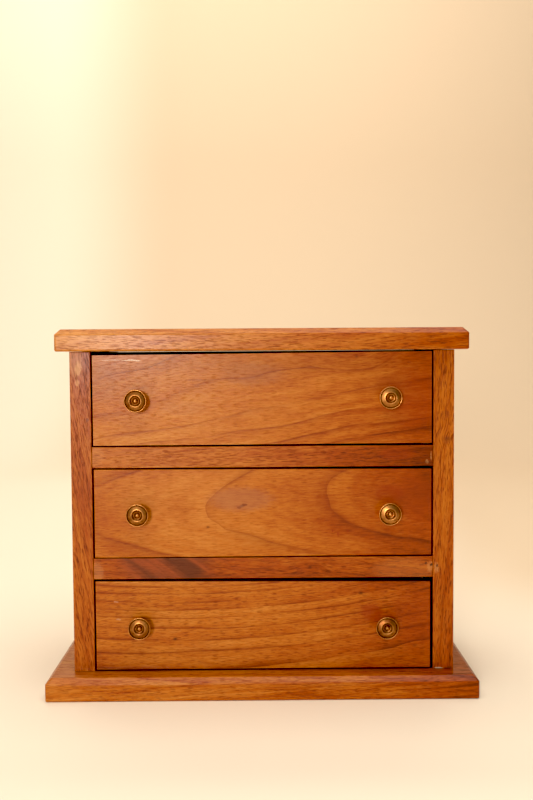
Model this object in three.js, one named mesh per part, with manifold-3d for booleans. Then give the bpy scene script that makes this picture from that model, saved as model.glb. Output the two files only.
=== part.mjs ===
// A small walnut jewellery chest: a chamfered base and top, two solid sides, two rails, a thin back
// panel and three lined drawers, each pulled by two turned brass knobs.
//
// Millimetres, +Z up, +X to the viewer's right, the drawers open towards -Y. The origin lies on the
// base's underside, midway between the two sides. The chest stands flat on that underside.

import * as THREE from "three";
import { ConvexGeometry } from "three/addons/geometries/ConvexGeometry.js";
import { mergeVertices } from "three/addons/utils/BufferGeometryUtils.js";
import Module from "manifold-3d";

const wasm = await Module();
wasm.setup();

// ---------------------------------------------------------------- driving sizes

// Case
const caseWidth = 342; // outside to outside of the two sides
const caseDepth = 172; // front edges of the sides to the back of the chest
const sideThickness = 18.5;
const railHeight = 18.75;
const railDepth = 42;
const tenonLength = 7; // stub tenon at each end of a rail
const tenonHeight = 8;
const tenonShoulder = 8; // wood left in front of and behind a tenon
const backThickness = 6;
const backRebate = 9; // how far the back panel reaches into each side
const backHeadGap = [0.5, 0.15]; // daylight between the back panel and the top, at its two ends

// Base and top
const baseThickness = 20.5;
const baseOverhang = 21;
const baseShift = -1.5; // the base sits a little to the left of the case's middle
const baseFrontOverhang = 20;
const topThickness = 19.5;
const topOverhang = 11;
const chamfer = 4.8; // on the upper front and side edges of both boards

// Runners and stops
const runnerWidth = 14; // what shows inside the case
const runnerHousing = 4; // depth of its groove in the side
const stopLength = 6;
const stopHeight = 10;

// Drawers, from the bottom one up: clear height of the opening, the gaps over, under and beside the
// closed front at its left and right ends, and how far its two knobs stand from their even places,
// as [x, z]. The fronts were planed a little out of square and the knobs bored by eye.
const tiers = [
  {
    name: "bottom",
    opening: 84.1,
    headGap: [2, 4.2],
    footGap: [1.6, 1.6],
    sideGap: [1.5, 2.4],
    knobShift: [[0, 1.2], [-0.9, 0]],
  },
  {
    name: "middle",
    opening: 81.5,
    headGap: [1.3, 2.4],
    footGap: [0.7, 1.4],
    sideGap: [1.5, 1.5],
    knobShift: [[-0.6, 0.6], [1.8, 0]],
  },
  {
    name: "top",
    opening: 85.4,
    headGap: [3.5, 1.6],
    footGap: [1.4, 2],
    sideGap: [1.5, 1.5],
    knobShift: [[-1, -0.6], [2.3, 0.8]],
  },
];
const frontThickness = 15;
const frontLip = 6; // front's thickness left in front of the lapped drawer sides
const drawerSideThickness = 8;
const drawerSideDrop = 5; // drawer sides stop this far below the lower end of the front's top edge
const drawerBackThickness = 8;
const drawerBackHousing = 3; // depth of the drawer back's housing in each drawer side
const drawerBackInset = 6; // drawer side that runs on behind the drawer back
const drawerBackDrop = 2; // the drawer back stops this far below the drawer sides
const panelThickness = 4; // drawer bottom
const panelGroove = 4; // depth of its groove
const panelRise = 5; // from the underside of the drawer sides to the groove
const liningThickness = 1.5;

// Knobs and fasteners
const knobSpacing = 221;
const knobRadius = 10;
const knobFootRadius = 5.8;
const knobNeckRadius = 3.9;
const knobRimHeight = 11.4; // front of the drawer to the back of the rim
const knobBore = 8; // depth of the blind threaded hole
const knobScrewRadius = 2;
const knobScrewHeadRadius = 4;
const knobScrewHeadHeight = 2.6;
const knobScrewReach = 6; // thread inside the knob
const dowelRadius = 4;
const dowelInSide = 16;
const dowelInTop = 12;
const baseScrewRadius = 2;
const baseScrewHeadRadius = 4.2;
const baseScrewSink = 0.6; // screw head below the underside
const baseScrewLength = 44;
const backScrewRadius = 1.5;
const backScrewHeadRadius = 3;
const backScrewHeadHeight = 1.8;
const backScrewLength = 16;
const endInset = 34; // dowels and base screws, from the front and back of a side
const backScrewInset = 28; // back screws, from the top and bottom of the back panel

// Clearances
const jointGap = 0.25; // glue line or joint between fixed pieces
const runGap = 0.3; // between a drawer and what it slides on or stops against
const boreGap = 0.3; // radial, round a screw or dowel in its hole
const roundSides = 24; // facets of a knob or a hole
const fineSides = 16; // facets of a screw or dowel

// ---------------------------------------------------------------- places worked out from the sizes

const sideInner = caseWidth / 2 - sideThickness; // x of the right side's inner face
const baseDepth = caseDepth + baseFrontOverhang;
const yBase = -baseDepth / 2; // front of the base
const yBack = baseDepth / 2; // back of the chest
const yCase = yBack - caseDepth; // front of the sides, rails and closed drawers
const yShoulder = yBack - backThickness - jointGap; // inner end of the back rebate
const yRailBack = yCase + railDepth;

let level = baseThickness;
for (const tier of tiers) {
  tier.floor = level;
  tier.ceiling = level + tier.opening;
  level = tier.ceiling + railHeight;
}
const caseTop = tiers.at(-1).ceiling; // underside of the top board

const yStop = yShoulder - jointGap - stopLength;
const yDrawerBack = yStop - runGap;
const yFrontInner = yCase + frontThickness;
const yPost = [yCase + endInset, yBack - endInset];
const xPost = caseWidth / 2 - sideThickness / 2; // middle of a side's thickness

// ---------------------------------------------------------------- making solids

const boreRadius = (radius) => radius + boreGap;

// A box between two corners, given as ranges along each axis.
function box([x0, x1], [y0, y1], [z0, z1]) {
  const geometry = new THREE.BoxGeometry(x1 - x0, y1 - y0, z1 - z0);
  return geometry.translate((x0 + x1) / 2, (y0 + y1) / 2, (z0 + z1) / 2);
}

// A body turned from [radius, height] points, both ends on its axis, standing on a point along +Z.
function turned(profile, [x, y, z], sides = roundSides) {
  const points = profile.map(([radius, height]) => new THREE.Vector2(radius, height));
  const geometry = new THREE.LatheGeometry(points, sides);
  return geometry.rotateX(Math.PI / 2).translate(x, y, z);
}

// The same, lying along Y with its height running towards -Y, out of the front of the chest.
function turnedForward(profile, [x, y, z], sides = roundSides) {
  const points = profile.map(([radius, height]) => new THREE.Vector2(radius, height));
  const geometry = new THREE.LatheGeometry(points, sides);
  return geometry.rotateX(Math.PI).translate(x, y, z);
}

const rod = (radius, from, to) => [
  [0, from],
  [radius, from],
  [radius, to],
  [0, to],
];

// A board with its upper front and side edges chamfered and its back edge square.
function chamferedBoard(halfWidth, [y0, y1], [z0, z1]) {
  const corners = [];
  for (const side of [-1, 1]) {
    for (const y of [y0, y1]) {
      const front = y === y0;
      corners.push(new THREE.Vector3(side * halfWidth, y, z0));
      corners.push(new THREE.Vector3(side * halfWidth, y, z1 - chamfer));
      corners.push(new THREE.Vector3(side * (halfWidth - chamfer), front ? y + chamfer : y, z1));
    }
  }
  return new ConvexGeometry(corners);
}

// A board on edge between two heights at its left end and two at its right.
function taperedBoard([x0, x1], [y0, y1], [low0, low1], [high0, high1]) {
  const outline = new THREE.Shape([
    new THREE.Vector2(x0, low0),
    new THREE.Vector2(x1, low1),
    new THREE.Vector2(x1, high1),
    new THREE.Vector2(x0, high0),
  ]);
  const geometry = new THREE.ExtrudeGeometry(outline, { depth: y1 - y0, bevelEnabled: false });
  return geometry.rotateX(Math.PI / 2).translate(0, y1, 0);
}

function toManifold(geometry) {
  const bare = new THREE.BufferGeometry().setAttribute("position", geometry.getAttribute("position"));
  if (geometry.index) bare.setIndex(geometry.index);
  const merged = mergeVertices(bare, 1e-4);
  const vertProperties = new Float32Array(merged.attributes.position.array);
  const triVerts = new Uint32Array(merged.index.array);
  return new wasm.Manifold(new wasm.Mesh({ numProp: 3, vertProperties, triVerts }));
}

function toGeometry(manifold) {
  const mesh = manifold.getMesh();
  const position = new THREE.BufferAttribute(mesh.vertProperties, 3);
  const geometry = new THREE.BufferGeometry().setAttribute("position", position);
  geometry.setIndex(new THREE.BufferAttribute(mesh.triVerts, 1));
  const flat = geometry.toNonIndexed();
  flat.computeVertexNormals();
  return flat;
}

function cut(stock, tools) {
  return toGeometry(tools.reduce((left, tool) => left.subtract(toManifold(tool)), toManifold(stock)));
}

function join(pieces) {
  return toGeometry(pieces.map(toManifold).reduce((sum, piece) => sum.add(piece)));
}

// ---------------------------------------------------------------- materials

const finish = (color, roughness, metalness = 0) =>
  new THREE.MeshStandardMaterial({ color, roughness, metalness });

const walnut = finish(0xa0561f, 0.38);
const backPly = finish(0x8a5a33, 0.6);
const drawerMaple = finish(0xd2ac78, 0.6);
const birchPly = finish(0xcaa877, 0.65);
const beechDowel = finish(0xc79a6b, 0.7);
const greenFelt = finish(0x1f4a34, 0.95);
const agedBrass = finish(0xa8793a, 0.35, 1);
const zincSteel = finish(0x9a9a96, 0.4, 1);

const chest = new THREE.Group();

function place(parent, name, geometry, material) {
  const mesh = new THREE.Mesh(geometry, material);
  mesh.name = name;
  parent.add(mesh);
}

// ---------------------------------------------------------------- fasteners

// Countersunk wood screw driven upwards: its height runs from the head's face to the point.
const baseScrewCone = baseScrewHeadRadius - baseScrewRadius;
const baseScrewProfile = [
  [0, 0],
  [baseScrewHeadRadius, 0],
  [baseScrewHeadRadius, 0.5],
  [baseScrewRadius, 0.5 + baseScrewCone],
  [baseScrewRadius, baseScrewLength - 5],
  [0, baseScrewLength],
];

// Its hole: the same shape with room round it, open at the underside of the base.
const baseScrewHole = [
  [0, -baseScrewSink - 1],
  [baseScrewHeadRadius + boreGap, -baseScrewSink - 1],
  [baseScrewHeadRadius + boreGap, 0.5 + jointGap],
  [boreRadius(baseScrewRadius), 0.5 + jointGap + baseScrewCone],
  [boreRadius(baseScrewRadius), baseScrewLength + 1],
  [0, baseScrewLength + 1],
];

const baseScrewPlaces = [-1, 1].flatMap((side) => yPost.map((y) => [side * xPost, y, baseScrewSink]));
const dowelPlaces = [-1, 1].flatMap((side) => yPost.map((y) => [side * xPost, y, caseTop]));
const dowelHole = rod(boreRadius(dowelRadius), -dowelInSide - 1, dowelInTop + 1);

// Pan-head screw through the back panel, its height running forwards from the panel's outer face.
const backScrewProfile = [
  [0, -backScrewHeadHeight],
  [backScrewHeadRadius * 0.7, -backScrewHeadHeight],
  [backScrewHeadRadius, -backScrewHeadHeight * 0.45],
  [backScrewHeadRadius, -jointGap],
  [backScrewRadius, -jointGap],
  [backScrewRadius, backScrewLength - 3],
  [0, backScrewLength],
];
const backBottom = baseThickness + jointGap;
const backTop = backHeadGap.map((gap) => caseTop - gap);
const backHalf = sideInner + backRebate - jointGap;
const xBackScrew = sideInner + backRebate / 2;
const backScrewPlaces = [-1, 1].flatMap((side) =>
  [backBottom + backScrewInset, backTop[0] - backScrewInset].map((z) => [side * xBackScrew, yBack, z]),
);
const backScrewHole = rod(boreRadius(backScrewRadius), -1, backScrewLength + 1);

// ---------------------------------------------------------------- base and top

function baseBoard() {
  const board = chamferedBoard(caseWidth / 2 + baseOverhang, [yBase, yBack], [0, baseThickness]);
  board.translate(baseShift, 0, 0);
  return cut(board, baseScrewPlaces.map((at) => turned(baseScrewHole, at)));
}

function topBoard() {
  const front = yCase - topOverhang;
  const thickness = [caseTop, caseTop + topThickness];
  const board = chamferedBoard(caseWidth / 2 + topOverhang, [front, yBack], thickness);
  return cut(board, dowelPlaces.map((at) => turned(dowelHole, at)));
}

// ---------------------------------------------------------------- sides, rails, runners and stops

const railTiers = tiers.slice(0, -1); // a rail and its runners sit over each of these openings
const tenonY = [yCase + tenonShoulder, yRailBack - tenonShoulder];
const tenonZ = (tier) => {
  const middle = tier.ceiling + railHeight / 2;
  return [middle - tenonHeight / 2, middle + tenonHeight / 2];
};
const grown = ([low, high], by) => [low - by, high + by];
const span = (side, near, far) => (side < 0 ? [-far, -near] : [near, far]);
const runnerY = [yRailBack + jointGap, yShoulder - jointGap];
const runnerZ = (tier) => [tier.ceiling, tier.ceiling + railHeight];

function sideBoard(side) {
  const board = box(
    span(side, sideInner, caseWidth / 2),
    [yCase, yBack],
    [baseThickness + jointGap, caseTop - jointGap],
  );
  const recess = (depth, y, z) => box(span(side, sideInner - 1, sideInner + depth), y, z);
  const tools = railTiers.flatMap((tier) => [
    recess(tenonLength + jointGap, grown(tenonY, jointGap), grown(tenonZ(tier), jointGap)),
    recess(runnerHousing + jointGap, grown(runnerY, jointGap), grown(runnerZ(tier), jointGap)),
    recess(backRebate, [yShoulder, yBack + 1], [0, caseTop + 1]),
  ]);
  const own = ([x]) => Math.sign(x) === side;
  tools.push(...dowelPlaces.filter(own).map((at) => turned(dowelHole, at)));
  tools.push(...baseScrewPlaces.filter(own).map((at) => turned(baseScrewHole, at)));
  tools.push(...backScrewPlaces.filter(own).map((at) => turnedForward(backScrewHole, at)));
  return cut(board, tools);
}

function rail(tier) {
  const reach = sideInner - jointGap;
  return join([
    box([-reach, reach], [yCase, yRailBack], [tier.ceiling, tier.ceiling + railHeight]),
    box([-sideInner - tenonLength, sideInner + tenonLength], tenonY, tenonZ(tier)),
  ]);
}

function runner(side, tier) {
  return box(span(side, sideInner - runnerWidth, sideInner + runnerHousing), runnerY, runnerZ(tier));
}

// A block at the back that the closed drawer's side meets.
function stopBlock(side, tier) {
  return box(
    span(side, sideInner - runnerWidth, sideInner - jointGap),
    [yStop, yStop + stopLength],
    [tier.floor + jointGap, tier.floor + stopHeight],
  );
}

function backPanel() {
  const thickness = [yBack - backThickness, yBack];
  const panel = taperedBoard([-backHalf, backHalf], thickness, [backBottom, backBottom], backTop);
  return cut(panel, backScrewPlaces.map((at) => turnedForward(backScrewHole, at)));
}

// ---------------------------------------------------------------- drawers

// What one drawer's pieces share: the places across the chest of its outer and inner faces, left
// then right, the front's edges at its two ends, and the other pieces' ranges along Z.
function drawerPlaces(tier) {
  const outer = [tier.sideGap[0] - sideInner, sideInner - tier.sideGap[1]];
  const inner = grown(outer, -drawerSideThickness);
  const frontTop = tier.headGap.map((gap) => tier.ceiling - gap);
  const frontBottom = tier.footGap.map((gap) => tier.floor + gap);
  const sideTop = Math.min(...frontTop) - drawerSideDrop;
  const sideBottom = tier.floor + runGap;
  const panelBottom = sideBottom + panelRise;
  const panelTop = panelBottom + panelThickness;
  const frontMiddle = (frontTop[0] + frontTop[1] + frontBottom[0] + frontBottom[1]) / 4;
  return {
    outer,
    inner,
    panelReach: grown(inner, panelGroove),
    frontTop,
    frontBottom,
    side: [sideBottom, sideTop],
    panel: [panelBottom, panelTop],
    back: [panelTop + jointGap, sideTop - drawerBackDrop],
    lining: [panelTop + jointGap, panelTop + jointGap + liningThickness],
    knobs: tier.knobShift.map(([x, z], i) => [hands[i] * (knobSpacing / 2) + x, yCase, frontMiddle + z]),
  };
}

const hands = [-1, 1]; // left, then right
const drawerBackY = [
  yDrawerBack - drawerBackInset - drawerBackThickness,
  yDrawerBack - drawerBackInset,
];
const frontGroove = [yFrontInner - panelGroove, yFrontInner + 1];

// From one of a drawer's faces, given as a pair of places, to a distance beyond it.
const beyond = (faces, i, near, far) => {
  const ends = [faces[i] + hands[i] * near, faces[i] + hands[i] * far];
  return ends.sort((a, b) => a - b);
};

function drawerFront(at) {
  const board = taperedBoard(at.outer, [yCase, yFrontInner], at.frontBottom, at.frontTop);
  const lapZ = grown([Math.min(...at.frontBottom), Math.max(...at.frontTop)], 1);
  const lapY = [yCase + frontLip, yFrontInner + 1];
  const laps = [0, 1].map((i) => box(beyond(at.inner, i, -jointGap, drawerSideThickness + 1), lapY, lapZ));
  const groove = box(at.panelReach, frontGroove, grown(at.panel, jointGap));
  const bore = rod(boreRadius(knobScrewRadius), -frontThickness - 1, 1);
  return cut(board, [...laps, groove, ...at.knobs.map((knob) => turnedForward(bore, knob))]);
}

function drawerSide(i, at) {
  const length = [yCase + frontLip + jointGap, yDrawerBack];
  const board = box(beyond(at.inner, i, 0, drawerSideThickness), length, at.side);
  const groove = box(
    beyond(at.inner, i, -1, panelGroove),
    [yCase, yDrawerBack + 1],
    grown(at.panel, jointGap),
  );
  const housing = box(
    beyond(at.inner, i, -1, drawerBackHousing),
    grown(drawerBackY, jointGap),
    [at.panel[1], at.side[1] + 1],
  );
  return cut(board, [groove, housing]);
}

function drawerBack(at) {
  return box(grown(at.inner, drawerBackHousing - jointGap), drawerBackY, at.back);
}

function drawerBottom(at) {
  return box(grown(at.panelReach, -jointGap), [frontGroove[0] + jointGap, drawerBackY[1]], at.panel);
}

function drawerLining(at) {
  const length = [yFrontInner + jointGap, drawerBackY[0] - jointGap];
  return box(grown(at.inner, -jointGap), length, at.lining);
}

// Turned knob, as [radius, distance out from the drawer front]: a blind bore, a foot, a waisted
// neck, a flared back, a beaded rim, a groove, a swelling ring, a bead, a dish and a middle boss.
function knobProfile() {
  const boreWall = boreRadius(knobScrewRadius);
  const rim = knobRimHeight;
  return [
    [0, knobBore],
    [boreWall, knobBore],
    [boreWall, jointGap],
    [knobFootRadius, jointGap],
    [knobFootRadius, 1.2],
    [knobNeckRadius + 0.4, 2.6],
    [knobNeckRadius, 5],
    [knobNeckRadius + 1.2, 7.6],
    [knobRadius - 2, rim - 1.4],
    [knobRadius, rim],
    [knobRadius, rim + 0.7],
    [knobRadius - 0.6, rim + 1.2],
    [knobRadius - 1.1, rim + 0.5],
    [knobRadius - 2.4, rim + 1.7],
    [knobRadius - 4.5, rim + 2.5],
    [knobRadius - 5, rim + 2.8],
    [knobRadius - 5.7, rim + 2.6],
    [2.2, rim + 1.4],
    [1.5, rim + 2.2],
    [0, rim + 2.7],
  ];
}

// Machine screw from inside the drawer, its head on the front's inner face.
function knobScrewProfile() {
  const headFace = -frontThickness - jointGap;
  return [
    [0, headFace - knobScrewHeadHeight],
    [knobScrewHeadRadius * 0.75, headFace - knobScrewHeadHeight],
    [knobScrewHeadRadius, headFace - knobScrewHeadHeight * 0.5],
    [knobScrewHeadRadius, headFace],
    [knobScrewRadius, headFace],
    [knobScrewRadius, knobScrewReach],
    [0, knobScrewReach],
  ];
}

const sideName = (side) => (side < 0 ? "left" : "right");

function drawer(tier) {
  const at = drawerPlaces(tier);
  const group = new THREE.Group();
  const add = (piece, geometry, material) =>
    place(group, `${tier.name}_drawer_${piece}`, geometry, material);
  add("front", drawerFront(at), walnut);
  hands.forEach((side, i) => add(`${sideName(side)}_side`, drawerSide(i, at), drawerMaple));
  add("back", drawerBack(at), drawerMaple);
  add("bottom", drawerBottom(at), birchPly);
  add("lining", drawerLining(at), greenFelt);
  at.knobs.forEach((knob, i) => {
    const hand = sideName(hands[i]);
    add(`${hand}_knob`, turnedForward(knobProfile(), knob), agedBrass);
    add(`${hand}_knob_screw`, turnedForward(knobScrewProfile(), knob, fineSides), zincSteel);
  });
  return group;
}

// ---------------------------------------------------------------- assembly

place(chest, "base_board", baseBoard(), walnut);
place(chest, "top_board", topBoard(), walnut);
place(chest, "back_panel", backPanel(), backPly);
for (const side of [-1, 1]) place(chest, `${sideName(side)}_side`, sideBoard(side), walnut);

const railNames = ["lower", "upper"];
railTiers.forEach((tier, i) => {
  place(chest, `${railNames[i]}_rail`, rail(tier), walnut);
  for (const side of [-1, 1]) {
    place(chest, `${railNames[i]}_${sideName(side)}_runner`, runner(side, tier), drawerMaple);
  }
});

for (const tier of tiers) {
  for (const side of [-1, 1]) {
    place(chest, `${tier.name}_${sideName(side)}_stop`, stopBlock(side, tier), drawerMaple);
  }
  chest.add(drawer(tier));
}

// Fasteners come in fours, left pair first: the places of each kind alternate between two rows.
function placeFour(places, rows, piece, makeAt, material) {
  places.forEach((at, i) => {
    place(chest, `${sideName(at[0])}_${rows[i % 2]}_${piece}`, makeAt(at), material);
  });
}

const dowelProfile = rod(dowelRadius, -dowelInSide, dowelInTop);
const endRows = ["front", "rear"];
placeFour(dowelPlaces, endRows, "dowel", (at) => turned(dowelProfile, at, fineSides), beechDowel);
placeFour(baseScrewPlaces, endRows, "base_screw", (at) => turned(baseScrewProfile, at, fineSides), zincSteel);
placeFour(
  backScrewPlaces,
  ["lower", "upper"],
  "back_screw",
  (at) => turnedForward(backScrewProfile, at, fineSides),
  agedBrass,
);

export default chest;
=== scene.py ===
"""Finishes a small walnut jewellery chest on its packed frame: figured timber laid out board by board
as it lay in the log, turned and aged brass knobs, felt linings, slotted screws and a plain studio.

Places are in the chest's own frame: +X to the viewer's right, -Y out of the front, +Z up, with the
origin on the base's underside, midway between the two sides. Lengths are metres, or millimetres
where a name or note says so.
"""

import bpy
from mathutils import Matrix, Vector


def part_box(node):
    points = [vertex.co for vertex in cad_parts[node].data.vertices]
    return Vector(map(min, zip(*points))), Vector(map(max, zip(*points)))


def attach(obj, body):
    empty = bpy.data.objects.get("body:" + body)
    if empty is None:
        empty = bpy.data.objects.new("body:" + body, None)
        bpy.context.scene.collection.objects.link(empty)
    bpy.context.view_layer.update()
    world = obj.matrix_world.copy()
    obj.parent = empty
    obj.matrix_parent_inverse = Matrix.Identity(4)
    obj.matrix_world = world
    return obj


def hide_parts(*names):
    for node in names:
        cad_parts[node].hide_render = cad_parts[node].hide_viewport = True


bl_info = {
    "name": "Walnut Jewellery Chest",
    "version": (1, 0, 0),
    "blender": (4, 5, 0),
    "location": "View3D > Sidebar > Chest",
    "description": "Gives a small chest of drawers its timber, brass, felt, screws and studio",
    "category": "Object",
}

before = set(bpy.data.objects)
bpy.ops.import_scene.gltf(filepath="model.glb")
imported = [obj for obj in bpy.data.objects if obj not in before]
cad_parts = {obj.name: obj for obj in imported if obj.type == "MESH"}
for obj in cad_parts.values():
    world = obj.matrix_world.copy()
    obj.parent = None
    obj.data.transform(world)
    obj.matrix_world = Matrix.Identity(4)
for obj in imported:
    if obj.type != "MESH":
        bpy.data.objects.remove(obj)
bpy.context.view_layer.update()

import math
import random
from dataclasses import dataclass

import bmesh
import bpy
from bpy.props import FloatProperty, FloatVectorProperty, PointerProperty
from mathutils import Matrix, Vector, noise

MM = 0.001
RAGGED = 1.2 * MM  # how uneven the edges of stains and scuffs are
TIERS = ("bottom", "middle", "top")
HANDS = ("left", "right")


# ------------------------------------------------------------------ sizes and colours to change


def colour(name, description, default):
    return FloatVectorProperty(
        name=name, description=description, subtype="COLOR", size=3, min=0, max=1, default=default
    )


def share(name, description, default):
    return FloatProperty(
        name=name, description=description, subtype="FACTOR", min=0, max=1, default=default
    )


def millimetres(name, description, default):
    return FloatProperty(
        name=name, description=description, unit="LENGTH", min=0, default=default * MM, precision=5
    )


def watts(name, description, default):
    return FloatProperty(name=name, description=description, unit="POWER", min=0, default=default)


class ChestTimber(bpy.types.PropertyGroup):
    """Colours and finish of the timber."""

    walnut_dark: colour("Walnut dark", "Heartwood in its darkest streaks", (0.12, 0.016, 0.0005))
    walnut_deep: colour("Walnut deep", "Shaded heartwood", (0.3, 0.05, 0.001))
    walnut_mid: colour("Walnut", "The common colour of the oiled walnut", (0.43, 0.12, 0.0095))
    walnut_light: colour("Walnut light", "The palest of the walnut", (0.62, 0.262, 0.05))
    pore: colour("Pores", "Inside of the open pores and fine cracks", (0.06, 0.011, 0.002))
    red: colour("Red heart", "Reddish clouds in the heartwood", (0.25, 0.026, 0.001))
    maple_dark: colour("Maple dark", "Darker bands of the drawer sides and runners", (0.44, 0.27, 0.13))
    maple_light: colour("Maple light", "Lighter bands of the drawer sides", (0.72, 0.53, 0.31))
    ply_dark: colour("Back dark", "Darker bands of the stained back panel", (0.2, 0.085, 0.032))
    ply_light: colour("Back light", "Lighter bands of the stained back panel", (0.42, 0.215, 0.095))
    varnish_roughness: share("Varnish roughness", "How dull the varnish is between its pores", 0.34)
    arris: millimetres("Eased edges", "Radius of the sanded edges of the boards", 0.7)


class ChestBrass(bpy.types.PropertyGroup):
    """Colours of the metals."""

    polished: colour("Brass", "Brass where fingers keep it bright", (0.54, 0.24, 0.075))
    patina: colour("Patina", "Brown patina in the turned grooves", (0.095, 0.022, 0.004))
    steel: colour("Screws", "Zinc plated steel of the hidden screws", (0.56, 0.56, 0.54))


class ChestFelt(bpy.types.PropertyGroup):
    """The cloth that lines the drawers."""

    pile: colour("Felt", "Colour of the felt", (0.018, 0.075, 0.04))
    worn: colour("Worn felt", "Felt where it has faded and rubbed", (0.05, 0.13, 0.075))


class ChestStudio(bpy.types.PropertyGroup):
    """Floor, lamps and camera."""

    floor: colour("Floor", "Colour of the floor and the sweep behind it", (0.92, 0.81, 0.66))
    shade: colour("Shade", "Colour of the sweep behind and at the right", (0.76, 0.6, 0.43))
    sky: colour("Ambient", "Colour of the light from all round", (1.0, 0.9, 0.76))
    ambient: FloatProperty(
        name="Ambient light", description="Strength of the light from all round", min=0, default=0.15
    )
    window: watts("Window", "Power of the soft lamp in front", 34.5)
    overhead: watts("Overhead", "Power of the soft lamp above", 48)
    backdrop: watts("Backdrop", "Power of the lamp on the backdrop", 39)
    blacks: FloatProperty(
        name="Blacks", description="Brightness shown as black", min=0, default=0.014, precision=3
    )
    lens: FloatProperty(
        name="Lens", description="Focal length", unit="CAMERA", min=1, default=41.69
    )


# ------------------------------------------------------------------ shader maths


class Link:
    """An output socket. Sums on number sockets add Math nodes."""

    def __init__(self, recipe, socket):
        self.recipe = recipe
        self.socket = socket

    def maths(self, operation, *terms):
        return self.recipe.node("Math", {"operation": operation}, dict(enumerate(terms)))

    def __add__(self, other):
        return self.maths("ADD", self, other)

    def __sub__(self, other):
        return self.maths("SUBTRACT", self, other)

    def __rsub__(self, other):
        return self.maths("SUBTRACT", other, self)

    def __mul__(self, other):
        return self.maths("MULTIPLY", self, other)

    def __truediv__(self, other):
        return self.maths("DIVIDE", self, other)

    def __pow__(self, other):
        return self.maths("POWER", self, other)

    def __abs__(self):
        return self.maths("ABSOLUTE", self)

    def floor(self):
        return self.maths("FLOOR", self)

    def least(self, other):
        return self.maths("MINIMUM", self, other)

    def most(self, other):
        return self.maths("MAXIMUM", self, other)

    __radd__ = __add__
    __rmul__ = __mul__


def find(sockets, key):
    """A socket by its place, its identifier or its name."""
    if isinstance(key, int):
        return sockets[key]
    exact = [s for s in sockets if s.identifier == key]
    return exact[0] if exact else sockets[key]


class Recipe:
    """One material's nodes. Every node is made by node(), and the rest are everyday uses of it."""

    def __init__(self, name):
        self.material = bpy.data.materials.new(name)
        self.material.use_nodes = True
        self.tree = self.material.node_tree
        self.tree.nodes.clear()

    def node(self, kind, settings=None, sockets=None, out=0):
        """Adds a node: its settings first, then each socket's value or link."""
        made = self.tree.nodes.new("ShaderNode" + kind)
        for key, value in (settings or {}).items():
            if key == "stops":
                self.set_stops(made.color_ramp, value)
            else:
                setattr(made, key, value)
        for key, value in (sockets or {}).items():
            socket = find(made.inputs, key)
            if isinstance(value, Link):
                self.tree.links.new(value.socket, socket)
            else:
                socket.default_value = value
        if isinstance(out, tuple):
            return [Link(self, find(made.outputs, key)) for key in out]
        return Link(self, find(made.outputs, out))

    @staticmethod
    def set_stops(ramp, stops):
        while len(ramp.elements) < len(stops):
            ramp.elements.new(1)
        for element, (position, rgb) in zip(ramp.elements, stops):
            element.position = position
            element.color = (*rgb, 1)

    def noise(self, vector, detail=2.0, roughness=0.5, scale=1.0):
        sockets = {"Vector": vector, "Scale": scale, "Detail": detail, "Roughness": roughness}
        return self.node("TexNoise", {"noise_dimensions": "3D"}, sockets)

    def vector(self, x, y, z):
        return self.node("CombineXYZ", None, {0: x, 1: y, 2: z})

    def smooth(self, value, low, high):
        """0 below low, 1 above high, and a soft step between; low may be the higher of the two."""
        return self.node(
            "MapRange",
            {"interpolation_type": "SMOOTHSTEP"},
            {"Value": value, "From Min": low, "From Max": high},
        )

    @staticmethod
    def rgba(tint):
        return tint if isinstance(tint, Link) else (*tint, 1)

    def mix(self, share_of_b, a, b):
        return self.node(
            "Mix",
            {"data_type": "RGBA"},
            {"Factor_Float": share_of_b, "A_Color": self.rgba(a), "B_Color": self.rgba(b)},
            "Result_Color",
        )

    def blob(self, place, at, size):
        """1 at the middle of an ellipsoid and 0 outside it; at and size are in millimetres."""
        middle = [v * MM for v in at]
        away = self.node("VectorMath", {"operation": "SUBTRACT"}, {0: place, 1: middle})
        scaled = self.node(
            "VectorMath", {"operation": "MULTIPLY"}, {0: away, 1: [1 / (v * MM) for v in size]}
        )
        reach = self.node("VectorMath", {"operation": "LENGTH"}, {0: scaled}, "Value")
        return self.smooth(reach, 1.0, 0.0)

    def ragged(self, place):
        """The place pushed about by up to RAGGED along each axis, so that a patch's edge is uneven."""
        push = self.node("TexNoise", None, {"Vector": place, "Scale": 260.0, "Detail": 3.0}, "Color")
        centred = self.node("VectorMath", {"operation": "SUBTRACT"}, {0: push, 1: (0.5, 0.5, 0.5)})
        scaled = self.node("VectorMath", {"operation": "SCALE"}, {0: centred, "Scale": 2 * RAGGED})
        return self.node("VectorMath", {"operation": "ADD"}, {0: place, 1: scaled})

    def finish(self, surface, height=None, depth=0.0, strength=1.0):
        """Ends the material in a Principled surface; surface holds its linked or set sockets."""
        sockets = dict(surface)
        if height is not None:
            sockets["Normal"] = self.node(
                "Bump", None, {"Strength": strength, "Distance": depth, "Height": height}
            )
        shader = self.node("BsdfPrincipled", None, sockets)
        self.node("OutputMaterial", None, {"Surface": shader}, out=())
        return self.material


# ------------------------------------------------------------------ timber


@dataclass(frozen=True)
class Knot:
    """A knot on a front face: its x and z, how far it bends the grain, and by how much, in mm."""

    x: float
    z: float
    reach: float
    pull: float
    eye: float = 1.8
    dark: float = 0.8


@dataclass(frozen=True)
class Mark:
    """A soft patch of another colour on a front face: centre, half width and half height in mm."""

    x: float
    z: float
    width: float
    height: float
    tint: tuple
    amount: float
    speckle: float = 0.3


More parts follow.
